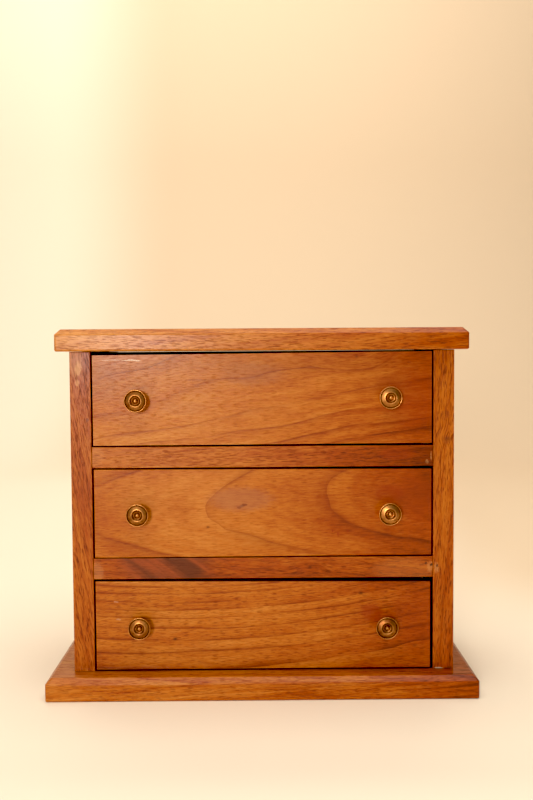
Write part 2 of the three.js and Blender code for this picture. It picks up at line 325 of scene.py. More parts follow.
@dataclass(frozen=True)
class Cut:
    """How a board lay in its log, and what its face shows. Lengths are millimetres."""

    grain: str = "X"
    heart: tuple = (20.0, 120.0)  # the log's heart, across and into the board from its middle
    drift: tuple = (0.0, 0.02)  # how far the heart moves across and away for each unit along
    bow: float = 0.0  # how much the drift across grows along the board, for each metre
    ring: float = 4.0
    phase: float = 0.0
    wander: float = 3.0
    seed: float = 0.0
    tone: float = 0.0
    tone_and_light_fall: tuple = (0.0, 0.0)  # tone gained towards the right or upper end, and towards both ends: partly the wood's own tone, partly painted light that falls off across the board
    lines: float = 0.5
    pores: float = 0.5
    lean: float = 0.4  # how much of the drift the pores follow
    streaks: float = 0.5
    knots: tuple = ()
    marks: tuple = ()
    feather: tuple = ()  # x and z of the middle of a crotch figure, half width, half height
    inner: float = 0.0  # how dark the faces inside the drawer openings are painted: painted shade where they show through the gaps round the drawers
    rubbed: float = 0.0  # painted shade on the lower edge, the front corner and the top edge near the front, where they show through the gaps round the drawer front; the number is how dark


# Plane of the closed drawers, rails and side edges.
FRONT_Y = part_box("top_drawer_front")[0].y
# From the middle of the chest to the inner faces of its sides.
OPENING_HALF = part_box("right_side")[0].x
# Painted shade: near black put on the faces that show through the gaps round the drawers.
PAINTED_GAP_SHADE = (0.035, 0.012, 0.006)
WALNUT_PALE = (0.7, 0.36, 0.15)
DARK_HEART = (0.16, 0.03, 0.008)
CHALK = (0.8, 0.66, 0.5)
PUTTY = (0.6, 0.28, 0.09)
GLUE = (0.42, 0.36, 0.28)
CRACK = (0.06, 0.02, 0.01)
RED = (0.25, 0.028, 0.002)
# Painted sheen: a greyish paleness on the upper drawer fronts where the window's light lies on the varnish,
# over wood that is greyer there too.
SHEEN_AND_GREY_WOOD = (0.3, 0.1, 0.045)
PLUME_DARK = (0.1, 0.022, 0.007)
PLUME_PALE = (0.29, 0.055, 0.012)

WALNUT_CUTS = {
    "top_board": Cut(
        heart=(-46, 70), drift=(0.02, 0.03), ring=3.4, seed=3, tone=0.08, tone_and_light_fall=(-0.22, -0.06),
        lines=0.4, pores=0.7, streaks=1.2,
        knots=(Knot(-181, 318, 16, -6, 0.8, 0.2),),
        marks=(
            Mark(-88, 323, 16, 0.8, CHALK, 0.22),
            Mark(46, 321, 42, 1.4, DARK_HEART, 0.4),
            Mark(112, 316, 30, 1.2, DARK_HEART, 0.3),
        ),
    ),
    "base_board": Cut(
        heart=(-70, 60), drift=(0.015, 0.02), ring=3.8, seed=11, tone=0.05, tone_and_light_fall=(-0.13, -0.16),
        lines=0.5, pores=0.6, streaks=1.5, inner=0.85,
        knots=(Knot(-70, 14, 20, 3, 0.6, 0.1),),
    ),
    "left_side": Cut(
        "Z", heart=(60, 40), drift=(-0.16, 0.02), ring=3.2, seed=21, tone=-0.08, tone_and_light_fall=(-0.04, 0.0),
        lines=0.5, pores=0.8, streaks=0.5, lean=1.0, inner=0.85,
        marks=(
            Mark(-163.3, 294, 4.2, 9, WALNUT_PALE, 0.5),
            Mark(-164.4, 281, 3.2, 4.2, WALNUT_PALE, 0.4),
            Mark(-156, 248, 2.4, 2.6, DARK_HEART, 0.7),
            Mark(-166, 300, 10, 22, WALNUT_PALE, 0.2),
        ),
    ),
    "right_side": Cut(
        "Z", heart=(-44, 52), drift=(0.05, 0.01), ring=3.0, seed=33, tone=-0.08, tone_and_light_fall=(0.07, 0.0),
        lines=0.5, pores=0.85, streaks=0.6, lean=1.0, inner=0.85,
        knots=(Knot(165, 229, 12, 5, 2.4, 0.5),),
        marks=(
            Mark(163, 250, 8, 6, DARK_HEART, 0.3, 0.8),
            Mark(165, 228, 6, 5, DARK_HEART, 0.4, 0.8),
            Mark(155.5, 113, 3.4, 7.5, PUTTY, 0.4, 0.8),
            Mark(156.4, 115, 1.5, 2.4, CRACK, 0.9, 0.8),
            Mark(158, 21.2, 5.5, 1.5, GLUE, 0.8, 0.9),
            Mark(166, 21.6, 5.5, 1.6, CRACK, 0.85, 0.8),
        ),
    ),
    "upper_rail": Cut(
        heart=(-60, 90), drift=(0.05, 0.01), ring=3.6, seed=41, tone=-0.07, tone_and_light_fall=(-0.22, -0.19),
        lines=0.5, pores=0.65, streaks=0.7, inner=0.85,
        marks=(
            Mark(-151, 216, 16, 14, WALNUT_PALE, 0.12),
            Mark(-152.6, 212, 0.9, 5.5, CRACK, 0.7, 0.8),
            Mark(147, 209, 2.2, 3.0, PUTTY, 0.35, 0.9),
            Mark(150.5, 214, 1.0, 6, PUTTY, 0.35, 0.9),
            Mark(120, 216, 26, 9, RED, 0.45),
        ),
    ),
    "lower_rail": Cut(
        heart=(52, 100), drift=(-0.03, 0.02), ring=4.4, seed=57, tone=-0.18,
        lines=0.5, pores=0.6, streaks=0.7, inner=0.85,
        knots=(Knot(41.8, 114.4, 12, -5, 1.5, 0.7),),
        feather=(-88, 116, 64, 32),
        marks=(
            Mark(-150, 110, 10, 16, WALNUT_PALE, 0.16),
            Mark(126, 111, 44, 18, PUTTY, 0.12),
            Mark(150, 114, 4.5, 7.5, PUTTY, 0.3, 0.8),
            Mark(150.5, 116, 1.8, 2.2, CRACK, 0.95, 0.9),
            Mark(146, 117, 1.4, 1.6, CRACK, 0.8, 0.9),
        ),
    ),
    "top_drawer_front": Cut(
        heart=(58, 210), drift=(0.1, -0.02), ring=5.2, phase=0.3, wander=5, seed=64, tone=0.07,
        tone_and_light_fall=(-0.12, -0.18), lines=0.9, pores=0.35, streaks=0.75, inner=0.7,
        knots=(Knot(84, 303, 24, 7, 1.2, 0.5), Knot(-55, 281, 26, -2, 0.1, 0.0)),
        marks=(
            Mark(-116, 300.8, 12, 0.9, CHALK, 0.75, 0.5),
            Mark(-135, 301.2, 16, 0.8, CHALK, 0.3, 0.5),
            Mark(-58, 283, 16, 2.0, DARK_HEART, 0.3, 0.6),
            # Painted sheen over the left and middle of the front.
            Mark(-8, 288, 44, 16, SHEEN_AND_GREY_WOOD, 0.35),
            Mark(-142, 280, 22, 26, SHEEN_AND_GREY_WOOD, 0.3),
            Mark(-70, 258, 30, 10, SHEEN_AND_GREY_WOOD, 0.2),
            Mark(136, 266, 44, 42, RED, 0.4),
            Mark(111, 276, 18, 14, RED, 0.4),
        ),
    ),
    "middle_drawer_front": Cut(
        heart=(10, 182), drift=(0.05, 0.05), ring=5.6, phase=0.6, wander=3.4, seed=72, tone=0.06,
        tone_and_light_fall=(-0.13, -0.24), lines=0.8, pores=0.35, streaks=0.55, inner=0.7,
        knots=(Knot(-19.0, 170, 17, -2.4, 1.6, 0.8), Knot(-49.4, 151.3, 9, -1.5, 1.4, 0.6)),
        marks=(
            # Painted sheen over the middle of the front, left of centre.
            Mark(-20, 176, 44, 17, SHEEN_AND_GREY_WOOD, 0.5),
            Mark(-16.5, 171.2, 4.2, 1.7, DARK_HEART, 0.8),
            Mark(-21.5, 168.8, 3.2, 1.8, DARK_HEART, 0.6),
            Mark(112, 180, 20, 13, RED, 0.6),
            Mark(136, 176, 30, 32, RED, 0.35),
            Mark(62, 147, 1.2, 2.2, RED, 0.8),
            Mark(67, 144, 1.1, 3.4, RED, 0.8),
            Mark(76, 147, 1.4, 2.0, RED, 0.7),
        ),
    ),
    "bottom_drawer_front": Cut(
        heart=(-68, 160), drift=(0.07, 0.003), bow=0.5, ring=3.5, phase=0.4, wander=4, seed=85,
        tone=0.04, tone_and_light_fall=(-0.13, -0.19), lines=1.3, pores=0.6, streaks=0.6, inner=0.7,
        knots=(
            Knot(-80, 49.8, 12, 2.4, 1.7, 0.85),
            Knot(87.6, 90.4, 13, -2.6, 1.9, 0.8),
            Knot(136.4, 42.5, 11, 2.4, 2.2, 0.4),
        ),
        marks=(
            Mark(97, 73, 15, 12, RED, 0.65),
            Mark(136, 66, 32, 40, RED, 0.3),
            Mark(-133, 84, 3, 1.2, CHALK, 0.15, 0.6),
            Mark(-131, 68, 3.4, 1.2, CHALK, 0.14, 0.6),
        ),
    ),
}

GRAIN_AXES = {"X": (0, 2, 1), "Y": (1, 0, 2), "Z": (2, 0, 1)}  # along, across, into the board


def front_place(x, z):
    return (x, FRONT_Y / MM, z)


def edge_distance(recipe, here, low, high):
    """How far a point on a board's surface is from the board's nearest edge, in metres."""
    half = (high - low) / 2
    offsets = recipe.node("VectorMath", {"operation": "ABSOLUTE"}, {0: here})
    inside = recipe.node("VectorMath", {"operation": "SUBTRACT"}, {0: half, 1: offsets})
    x, y, z = recipe.node("SeparateXYZ", None, {0: inside}, ("X", "Y", "Z"))
    return x + y + z - x.least(y).least(z) - x.most(y).most(z)


PLUME_LEAN = 0.9  # how far the plumes lean for each unit of height
PLUME_CURL = 18.0  # how fast the lean grows, for each metre of height
PLUME_DEPTH = 30  # how far into the board the figure reaches, in mm
PLUME_HEART = (14, 44, 60)  # its darkest part: how far right of the middle, half width, half height


def feathered(recipe, place, wood, spec):
    """A crotch figure: dark plumes that lean and curl to the right as they go down."""
    x, z, width, height = spec
    region = recipe.blob(place, front_place(x, z), (width, PLUME_DEPTH, height))
    px, pz = recipe.node("SeparateXYZ", None, {0: place}, ("X", "Z"))
    up = pz - (z - height / 2) * MM
    lean = px + up * PLUME_LEAN + up * up * PLUME_CURL
    plume = recipe.noise(recipe.vector(lean * 62.0, pz * 12.0, 4.0), 3.0, 0.55)
    veil = recipe.noise(recipe.vector(lean * 28.0, pz * 9.0, 9.0), 2.0, 0.5)
    shift, heart_width, heart_height = PLUME_HEART
    heart_size = (heart_width, PLUME_DEPTH, heart_height)
    heart = recipe.blob(place, front_place(x + shift, z), heart_size)
    pale = recipe.smooth(plume - heart * 0.16, 0.3, 0.68)
    dark = recipe.mix(pale, PLUME_DARK, PLUME_PALE)
    shown = recipe.smooth(region + (veil - 0.5) * 0.8, 0.05, 0.6)
    return recipe.mix(shown * 0.9, wood, dark)


# How fast each part of the figure changes along the grain and across it, for each metre.
SWAY = (7.0, 18.0)
STREAKS = (13.0, 560.0, 40.0)  # along the grain, from ring to ring, and into the board
FIBRES = (85.0, 640.0)
PORES = (150.0, 1600.0)
CLOUDS = (16.0, 38.0)
REDS = (11.0, 30.0)
GRIT = 900.0

# How much each part lightens or darkens the wood.
CLOUD_TONE = 0.34
STREAK_TONE = 0.6
FIBRE_TONE = 0.5
RING_TONE = 0.12
WORN_TONE = 0.07
LINE_TONE = 0.3
PORE_TONE = 0.2
MIDDLE_TONE = 0.5

# Where wear and the painted shade in the gaps round the drawers begin and where they are full, as distances
# from a face or an edge.
WORN_EDGE = (1.5 * MM, 0.2 * MM)
BEHIND_FRONT = (0.8 * MM, 3.5 * MM)
BESIDE_OPENING = (1.2 * MM, 0.6 * MM)
OUTER_FACE = (0.3 * MM, 1.0 * MM)
FOOT = (3.2 * MM, 2.2 * MM)
FRONT_CORNER = (7 * MM, 3 * MM)
RIM = (1.2 * MM, 0.6 * MM)
SHADED_RIM_REACH = (32 * MM, 20 * MM)

KNOT_DEPTH = 60  # how far into the board a knot bends the grain, in mm
EYE_DEPTH = 20
MARK_DEPTH = 9


def timber(name, node_name, cut, stops, pore_colour, roughness, gloss=0.3, red_colour=None):
    """A board's material, seen as a slice of its log."""
    recipe = Recipe(name)
    low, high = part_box(node_name)
    middle = (low + high) / 2
    place = recipe.node("TexCoord", out="Object")
    x, y, z = recipe.node("SeparateXYZ", None, {0: place}, ("X", "Y", "Z"))
    here = recipe.node("VectorMath", {"operation": "SUBTRACT"}, {0: place, 1: middle})
    parts = recipe.node("SeparateXYZ", None, {0: here}, ("X", "Y", "Z"))
    along, across, deep = (parts[i] for i in GRAIN_AXES[cut.grain])

    # Slow bends of the grain, with the pull of each knot.
    swayed = recipe.vector(along * SWAY[0], across * SWAY[1] + cut.seed, deep * SWAY[1])
    sway = recipe.noise(swayed, 2.0) - 0.5
    bend = sway * (2 * cut.wander * MM)
    eyes = []
    for knot in cut.knots:
        at = front_place(knot.x, knot.z)
        around = (knot.reach * 2, KNOT_DEPTH, knot.reach)
        bend = bend + recipe.blob(place, at, around) * (knot.pull * MM)
        eye_size = (knot.eye * 1.9, EYE_DEPTH, knot.eye * 1.3)
        eyes.append(recipe.blob(place, at, eye_size) * knot.dark)
    side = across - along * (along * cut.bow + cut.drift[0]) - cut.heart[0] * MM + bend
    away = deep + along * cut.drift[1] - cut.heart[1] * MM + bend * 0.4
    radius = (side * side + away * away) ** 0.5

    # Growth rings: a fine dark line where each ends, softer after it than before.
    jitter = recipe.noise(recipe.vector(radius * 160.0, along * 3.0, cut.seed), 1.0) - 0.5
    count = radius / (cut.ring * MM) + jitter * 0.8 + cut.phase
    ring = count.floor()
    late = count - ring
    line = (1 - late) ** 7.0 * 0.75 + late ** 26.0
    shown = recipe.noise(recipe.vector(along * 14.0, ring * 3.7, cut.seed), 1.0)
    line = line * recipe.smooth(shown, 0.34, 0.62)
    ring_tone = recipe.node("TexWhiteNoise", {"noise_dimensions": "1D"}, {"W": ring + cut.seed})

    # Streaks that keep to the rings, fibres and pores that keep to the log's length.
    streak = recipe.noise(
        recipe.vector(along * STREAKS[0], radius * STREAKS[1], deep * STREAKS[2] + cut.seed), 3.0, 0.6
    )
    grained = across + bend * 0.6 - along * (cut.drift[0] * cut.lean)
    fibre = recipe.noise(
        recipe.vector(along * FIBRES[0], grained * FIBRES[1], deep * FIBRES[1] + cut.seed), 3.0, 0.7
    )
    pore_field = recipe.noise(
        recipe.vector(along * PORES[0], grained * PORES[1], deep * PORES[1]), 1.0, 0.4
    )
    pore = recipe.smooth(pore_field, 0.53, 0.65)
    cloud = recipe.noise(
        recipe.vector(along * CLOUDS[0], across * CLOUDS[1], deep * CLOUDS[1] + cut.seed), 3.0, 0.55
    )

    grit = recipe.noise(place, 2.0, 0.6, scale=GRIT)
    edge = edge_distance(recipe, here, low, high)
    worn = recipe.smooth(edge + (grit - 0.5) * 0.0022, *WORN_EDGE)

    lengthwise = GRAIN_AXES[cut.grain][0]
    reach = along * (2 / (high[lengthwise] - low[lengthwise]))
    tone = (
        (cloud - 0.5) * CLOUD_TONE
        + (streak - 0.5) * (STREAK_TONE * cut.streaks)
        + (fibre - 0.5) * FIBRE_TONE
        + (ring_tone - 0.5) * (RING_TONE * cut.lines)
        + worn * WORN_TONE
        - line * (LINE_TONE * cut.lines)
        - pore * (PORE_TONE * cut.pores)
        # Painted light in part: this gradient along the board also stands in for the lamp's light falling
        # off across the chest.
        + reach * (reach * cut.tone_and_light_fall[1] + cut.tone_and_light_fall[0])
        + (MIDDLE_TONE + cut.tone)
    )
    wood = recipe.node("ValToRGB", {"stops": stops}, {"Fac": tone})
    if red_colour:
        reds = recipe.noise(recipe.vector(along * REDS[0], across * REDS[1], cut.seed + 5.0), 2.0, 0.5)
        wood = recipe.mix(recipe.smooth(reds, 0.55, 0.8) * 0.35, wood, red_colour)
    if cut.feather:
        wood = feathered(recipe, place, wood, cut.feather)
    open_grain = (pore * (0.5 * cut.pores)).most(line * (0.4 * cut.lines))
    wood = recipe.mix(open_grain, wood, pore_colour)
    for eye in eyes:
        wood = recipe.mix(eye, wood, pore_colour)
    ragged = recipe.ragged(place) if cut.marks else place
    for mark in cut.marks:
        size = (mark.width, MARK_DEPTH, mark.height)
        patch = recipe.blob(ragged, front_place(mark.x, mark.z), size)
        broken = recipe.smooth(patch * ((grit - 0.5) * (mark.speckle * 5) + 1), 0.05, 0.6)
        wood = recipe.mix(broken * mark.amount, wood, mark.tint)

    # Painted shade: the faces inside the drawer openings are darkened towards near black where they show
    # through the gaps.
    if cut.inner:
        depth = recipe.smooth(y, *(FRONT_Y + gap for gap in BEHIND_FRONT))
        within = recipe.smooth(abs(x), *(OPENING_HALF + gap for gap in BESIDE_OPENING))
        before_back = recipe.smooth(y, *(high.y - gap for gap in OUTER_FACE))
        above_floor = recipe.smooth(z, *OUTER_FACE)
        inside = depth * within * (before_back * above_floor)
        wood = recipe.mix(inside * cut.inner, wood, PAINTED_GAP_SHADE)
    # Painted shade: the lower edge, the front corner and the top edge near the front of a drawer side are
    # darkened where they show through the gaps round the front.
    if cut.rubbed:
        foot = recipe.smooth(z, *(low.z + gap for gap in FOOT))
        corner = recipe.smooth(y, *(low.y + gap for gap in FRONT_CORNER))
        rim = recipe.smooth(z, *(high.z - gap for gap in RIM))
        shaded_rim_near_front = rim * recipe.smooth(y, *(low.y + gap for gap in SHADED_RIM_REACH))
        wood = recipe.mix(foot.most(corner).most(shaded_rim_near_front) * cut.rubbed, wood, PAINTED_GAP_SHADE)

    dull = pore * 0.22 + (cloud - 0.5) * 0.16 + (grit - 0.5) * 0.1 + worn * 0.06 + roughness
    height = (fibre - 0.5) * 0.5 - pore * cut.pores - line * 0.3 + (sway + cloud) * 1.5
    return recipe.finish(
        {
            "Base Color": wood,
            "Roughness": dull,
            "Coat Weight": gloss,
            "Coat Roughness": 0.2,
            "Specular IOR Level": 0.2,
        },
        height,
        depth=0.12 * MM,
        strength=0.6,
    )


CHAMFER_ANGLE = math.radians(32)  # edges that turn more than this are eased
SQUARE_ANGLE = math.radians(60)  # edges that turn more than this count as square


def ease_edges(node, radius, segments=3, corner=0.0):
    """Rounds a board's edges the way sandpaper leaves them, with modifiers on its own mesh.
    A corner radius rounds the square edges more than the edges of a chamfer."""
    weld = node.modifiers.new("Closed seams", "WELD")
    weld.merge_threshold = 0.005 * MM
    whole = node.modifiers.new("Whole faces", "DECIMATE")
    whole.decimate_type = "DISSOLVE"
    whole.angle_limit = math.radians(1)
    if corner:
        square = node.modifiers.new("Square edges", "BEVEL")
        square.width = corner
        square.segments = 4
        square.limit_method = "ANGLE"
        square.angle_limit = SQUARE_ANGLE
        square.use_clamp_overlap = False
    eased = node.modifiers.new("Eased edges", "BEVEL")
    eased.width = radius
    eased.segments = segments
    eased.limit_method = "ANGLE"
    eased.angle_limit = CHAMFER_ANGLE
    eased.use_clamp_overlap = False


def dress(node_name, material):
    """Gives a packed node its material."""
    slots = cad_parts[node_name].data.materials
    slots.clear()
    slots.append(material)


# ------------------------------------------------------------------ turned and soft pieces


def add_object(name, data):
    """A new object in the scene."""
    made = bpy.data.objects.new(name, data)
    bpy.context.scene.collection.objects.link(made)
    return made


def smooth_mesh(name, shape):
    """Turns a finished bmesh into a smooth shaded mesh."""
    mesh = bpy.data.meshes.new(name)
    shape.to_mesh(mesh)
    shape.free()
    mesh.polygons.foreach_set("use_smooth", [True] * len(mesh.polygons))
    return mesh


def curve_through(points, steps):
    """A smooth line through the points (Catmull-Rom); a point given twice keeps a crisp corner."""
    line = []
    padded = [points[0], *points, points[-1]]
    for p0, p1, p2, p3 in zip(padded, padded[1:], padded[2:], padded[3:]):
        if p1 == p2:
            continue
        for step in range(steps):
            t = step / steps
            line.append(
                tuple(
                    0.5
                    * (
                        2 * b
                        + (c - a) * t
                        + (2 * a - 5 * b + 4 * c - d) * t * t
                        + (3 * b - a - 3 * c + d) * t**3
                    )
                    for a, b, c, d in zip(p0, p1, p2, p3)
                )
            )
    line.append(points[-1])
    return line


def turned_mesh(name, profile, sides, wobble=0.0, seed=0):
    """Turns (radius, height) points about Y, heights running to -Y; both ends lie on the axis."""
    shape = bmesh.new()
    rings = []
    for radius, height in profile:
        if radius < 1e-7:
            rings.append([shape.verts.new((0, -height, 0))])
            continue
        ring = []
        for i in range(sides):
            angle = 2 * math.pi * i / sides
            x, z = math.cos(angle), math.sin(angle)
            dent = wobble * noise.noise(Vector((x * 1.6 + seed, height * 260, z * 1.6)))
            ring.append(shape.verts.new(((radius + dent) * x, -height, (radius + dent) * z)))
        rings.append(ring)
    for low, high in zip(rings, rings[1:]):
        for i in range(sides):
            j = (i + 1) % sides
            if len(low) == 1:
                shape.faces.new((low[0], high[i], high[j]))
            elif len(high) == 1:
                shape.faces.new((low[i], high[0], low[j]))
            else:
                shape.faces.new((low[i], high[i], high[j], low[j]))
    bmesh.ops.recalc_face_normals(shape, faces=shape.faces)
    return smooth_mesh(name, shape)


def cut_slot(piece, width, depth, top, reach, angle):
    """Cuts a driver slot across the head of a screw whose top is at height top along -Y."""
    bpy.ops.mesh.primitive_cube_add(size=1)
    cutter = bpy.context.object
    cutter.scale = (reach * 2.4, depth * 2, width)
    cutter.rotation_euler = (0, angle, 0)
    cutter.location = piece.matrix_world @ Vector((0, -top, 0))
    bpy.context.view_layer.update()
    boolean = piece.modifiers.new("Slot", "BOOLEAN")
    boolean.object = cutter
    boolean.solver = "EXACT"
    bpy.context.view_layer.update()
    graph = bpy.context.evaluated_depsgraph_get()
    mesh = bpy.data.meshes.new_from_object(piece.evaluated_get(graph))
    piece.modifiers.clear()
    piece.data = mesh
    bpy.data.objects.remove(cutter)


# Knob: (radius, distance from the drawer front) in mm. Points given twice are crisp corners.
KNOB_RADIUS = 10.0
KNOB_PROFILE = [
    (0.0, 8.0), (2.3, 8.0), (2.3, 8.0), (2.3, 0.25), (2.3, 0.25),
    (5.5, 0.25), (5.8, 0.5), (5.7, 1.1), (4.9, 1.9), (4.2, 3.0), (3.9, 4.6), (4.1, 6.2), (5.0, 7.8),
    (6.9, 9.5), (9.1, 11.2), (9.8, 11.8), (10.0, 12.5), (9.95, 13.05), (9.8, 13.35), (9.55, 13.45),
    (9.3, 13.38), (9.05, 13.0), (8.85, 12.55), (8.65, 12.5), (8.4, 12.72), (7.8, 13.0),
    (7.0, 13.28), (6.2, 13.56), (5.4, 13.8),
    (4.9, 13.8), (4.5, 13.4), (4.0, 12.65), (3.4, 12.1), (2.8, 11.95), (2.4, 12.2), (2.0, 12.9),
    (1.3, 13.65), (0.7, 13.95), (0.0, 14.05),
]


KNOB_SIDES = 96
KNOB_DENT = 0.03 * MM  # how far the turning strays from round
KNOB_BRIGHTNESS = {"left": (0.0, -0.02, 0.0), "right": (-0.06, 0.14, 0.12)}  # bottom, middle, top

# How brown the brass is at each share of a knob's radius.
PATINA_RINGS = [
    (0.0, 0.0), (0.14, 0.2), (0.22, 1.0), (0.28, 0.8), (0.34, 0.1), (0.47, 0.15),
    (0.6, 0.45), (0.84, 0.55), (0.86, 1.1), (0.89, 1.1), (0.915, 0.0), (0.985, 0.0),
]
KNOB_NECK = (-11.2 * MM, -9.0 * MM)  # from the bright front of a knob to its brown back
WARM_BRASS = (0.4, 0.13, 0.05)
GRIME = (0.2, 0.17, 0.13)
LINT = (0.3, 0.36, 0.28)


def brass(name, seed, brightness):
    """Aged brass: bright on the proud rings, brown in the grooves, with fine turning marks."""
    metal = bpy.context.scene.chest_brass
    recipe = Recipe(name)
    place = recipe.node("TexCoord", out="Object")
    x, y, z = recipe.node("SeparateXYZ", None, {0: place}, ("X", "Y", "Z"))
    radius = (x * x + z * z) ** 0.5 / (KNOB_RADIUS * MM)
    stops = [(share_of_radius, (brown,) * 3) for share_of_radius, brown in PATINA_RINGS]
    deep = recipe.node("ValToRGB", {"stops": stops}, {"Fac": radius})
    behind = recipe.smooth(y, *KNOB_NECK)
    stain = recipe.noise(place, 3.0, 0.6, scale=240.0 + seed * 3)
    blotch = recipe.noise(recipe.vector(x, z, seed * 1.7), 2.0, 0.5, scale=110.0)
    speck = recipe.noise(place, 2.0, 0.7, scale=1900.0)
    grooved = (deep * 0.72).most(behind)
    aged = grooved + (stain - 0.5) * 0.7 + (blotch - 0.5) * 0.7 + (0.22 - brightness)
    aged = recipe.smooth(aged, 0.0, 1.0)
    body = recipe.mix(aged, metal.polished, metal.patina)
    warm = recipe.mix(recipe.smooth(blotch, 0.5, 0.75) * 0.4, body, WARM_BRASS)
    turning = recipe.noise(recipe.vector(radius * 70.0, y * 9000.0, seed), 1.0)
    return recipe.finish(
        {
            "Base Color": warm,
            "Metallic": 1.0,
            "Roughness": aged * 0.2 + (speck - 0.5) * 0.12 + (stain - 0.5) * 0.12 + 0.31,
        },
        turning * 0.6 + speck * 0.5 + stain,
        depth=0.05 * MM,
        strength=0.55,
    )


def steel(name):
    """Zinc plated steel, dull and a little grimy."""
    metal = bpy.context.scene.chest_brass
    recipe = Recipe(name)
    place = recipe.node("TexCoord", out="Object")
    grime = recipe.noise(place, 3.0, 0.6, scale=420.0)
    lay = recipe.noise(place, 2.0, 0.7, scale=2600.0)
    tint = recipe.mix(recipe.smooth(grime, 0.45, 0.75) * 0.7, metal.steel, GRIME)
    return recipe.finish(
        {"Base Color": tint, "Metallic": 1.0, "Roughness": grime * 0.3 + (lay - 0.5) * 0.2 + 0.22},
        grime + lay * 0.5,
        depth=0.04 * MM,
        strength=0.5,
    )


def felt(name):
    """Felt with a fuzzy pile, faded patches and specks of lint."""
    cloth = bpy.context.scene.chest_felt
    recipe = Recipe(name)
    place = recipe.node("TexCoord", out="Object")
    fuzz = recipe.noise(place, 4.0, 0.75, scale=1500.0)
    tufts = recipe.noise(place, 3.0, 0.6, scale=320.0)
    rubbed = recipe.noise(place, 3.0, 0.55, scale=16.0)
    shade = recipe.mix(fuzz, cloth.pile, [v * 1.9 for v in cloth.pile])
    faded = recipe.smooth(rubbed + (tufts - 0.5) * 0.3, 0.5, 0.78) * 0.55
    lint = recipe.smooth(tufts * fuzz, 0.36, 0.42) * 0.35
    coat = recipe.mix(lint, recipe.mix(faded, shade, cloth.worn), LINT)
    return recipe.finish(
        {"Base Color": coat, "Roughness": 0.95, "Sheen Weight": 0.35, "Sheen Roughness": 0.5},
        fuzz * 0.7 + tufts,
        depth=0.35 * MM,
        strength=0.7,
    )


# ------------------------------------------------------------------ operators


def pale_stops(wood):
    """The pale timber of the drawer boxes, from its darker to its lighter bands."""
    return [(0.0, wood.maple_dark), (0.6, wood.maple_light), (1.0, wood.maple_light)]


def walnut_material(node):
    """The varnished walnut of one board of the case or of one drawer front."""
    wood = bpy.context.scene.chest_timber
    stops = [
        (0.0, wood.walnut_dark),
        (0.31, wood.walnut_deep),
        (0.54, wood.walnut_mid),
        (1.0, wood.walnut_light),
    ]
    return timber(
        f"walnut_{node}", node, WALNUT_CUTS[node], stops, wood.pore, wood.varnish_roughness,
        gloss=0.12, red_colour=wood.red,
    )


class CHEST_OT_case(bpy.types.Operator):
    """Finish the base, top, sides and rails in varnished walnut"""

    bl_idname = "chest.case"
    bl_label = "Case"

    def execute(self, context):
        arris = context.scene.chest_timber.arris
        for node in ("base_board", "top_board", "left_side", "right_side", "upper_rail", "lower_rail"):
            dress(node, walnut_material(node))
            if "board" in node:
                ease_edges(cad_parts[node], arris, corner=arris * 2.4)
            else:
                ease_edges(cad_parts[node], arris * 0.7)
        return {"FINISHED"}


class CHEST_OT_inner_timber(bpy.types.Operator):
    """Finish the back panel, runners, stops and dowels"""

    bl_idname = "chest.inner_timber"
    bl_label = "Inner timber"

    def execute(self, context):
        wood = context.scene.chest_timber
        stain = [(0.0, wood.ply_dark), (0.55, wood.ply_light), (1.0, wood.ply_light)]
        back = Cut("X", heart=(30, 34), drift=(0.05, 0.012), ring=2.6, wander=9, seed=91, lines=0.7,
                   pores=0.5, streaks=0.5)
        dress("back_panel", timber("stained_back", "back_panel", back, stain, wood.pore, 0.5, 0.1))
        ease_edges(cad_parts["back_panel"], 0.25 * MM, 2)
        # Painted shade: the runners, stops and dowels get the pale timber at 0.4 of its brightness, for the
        # shade inside the case.
        shaded_maple = [(place, [v * 0.4 for v in tint]) for place, tint in pale_stops(wood)]
        lengthwise = Cut("Y", heart=(30, 40), ring=2.4, seed=101, lines=0.35, pores=0.15, streaks=0.4)
        for seed, node in enumerate(sorted(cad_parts)):
            if node.endswith(("runner", "stop", "dowel")):
                cut = Cut("Z", heart=(9, 12), ring=1.6, seed=seed) if node.endswith("dowel") else lengthwise
                dress(node, timber(f"dusty_{node}", node, cut, shaded_maple, wood.maple_dark, 0.6, 0.0))
                if not node.endswith("dowel"):
                    ease_edges(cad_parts[node], 0.3 * MM, 2)
        return {"FINISHED"}


class CHEST_OT_drawers(bpy.types.Operator):
    """Finish the drawer fronts in walnut and the drawer boxes in pale timber"""

    bl_idname = "chest.drawers"
    bl_label = "Drawers"

    def execute(self, context):
        wood = context.scene.chest_timber
        pale = pale_stops(wood)
        for seed, tier in enumerate(TIERS):
            front = f"{tier}_drawer_front"
            dress(front, walnut_material(front))
            ease_edges(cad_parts[front], wood.arris)
            close = {"lines": 0.45, "pores": 0.15}
            cuts = {
                # The sides carry painted shade along their edges that show through the gaps round the front.
                "left_side": Cut("Y", heart=(44, 30), ring=3, seed=seed + 111, rubbed=0.95, **close),
                "right_side": Cut("Y", heart=(-38, 36), ring=3, seed=seed + 121, rubbed=0.95, **close),
                "back": Cut("X", heart=(40, 44), ring=3.4, seed=seed + 131, **close),
                "bottom": Cut("X", heart=(16, 52), ring=2.2, wander=8, seed=seed + 141, lines=0.5),
            }
            for part, cut in cuts.items():
                node = f"{tier}_drawer_{part}"
                dress(node, timber(f"pale_{node}", node, cut, pale, wood.maple_dark, 0.58, 0.0))
                ease_edges(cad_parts[node], 0.35 * MM, 2)
        return {"FINISHED"}


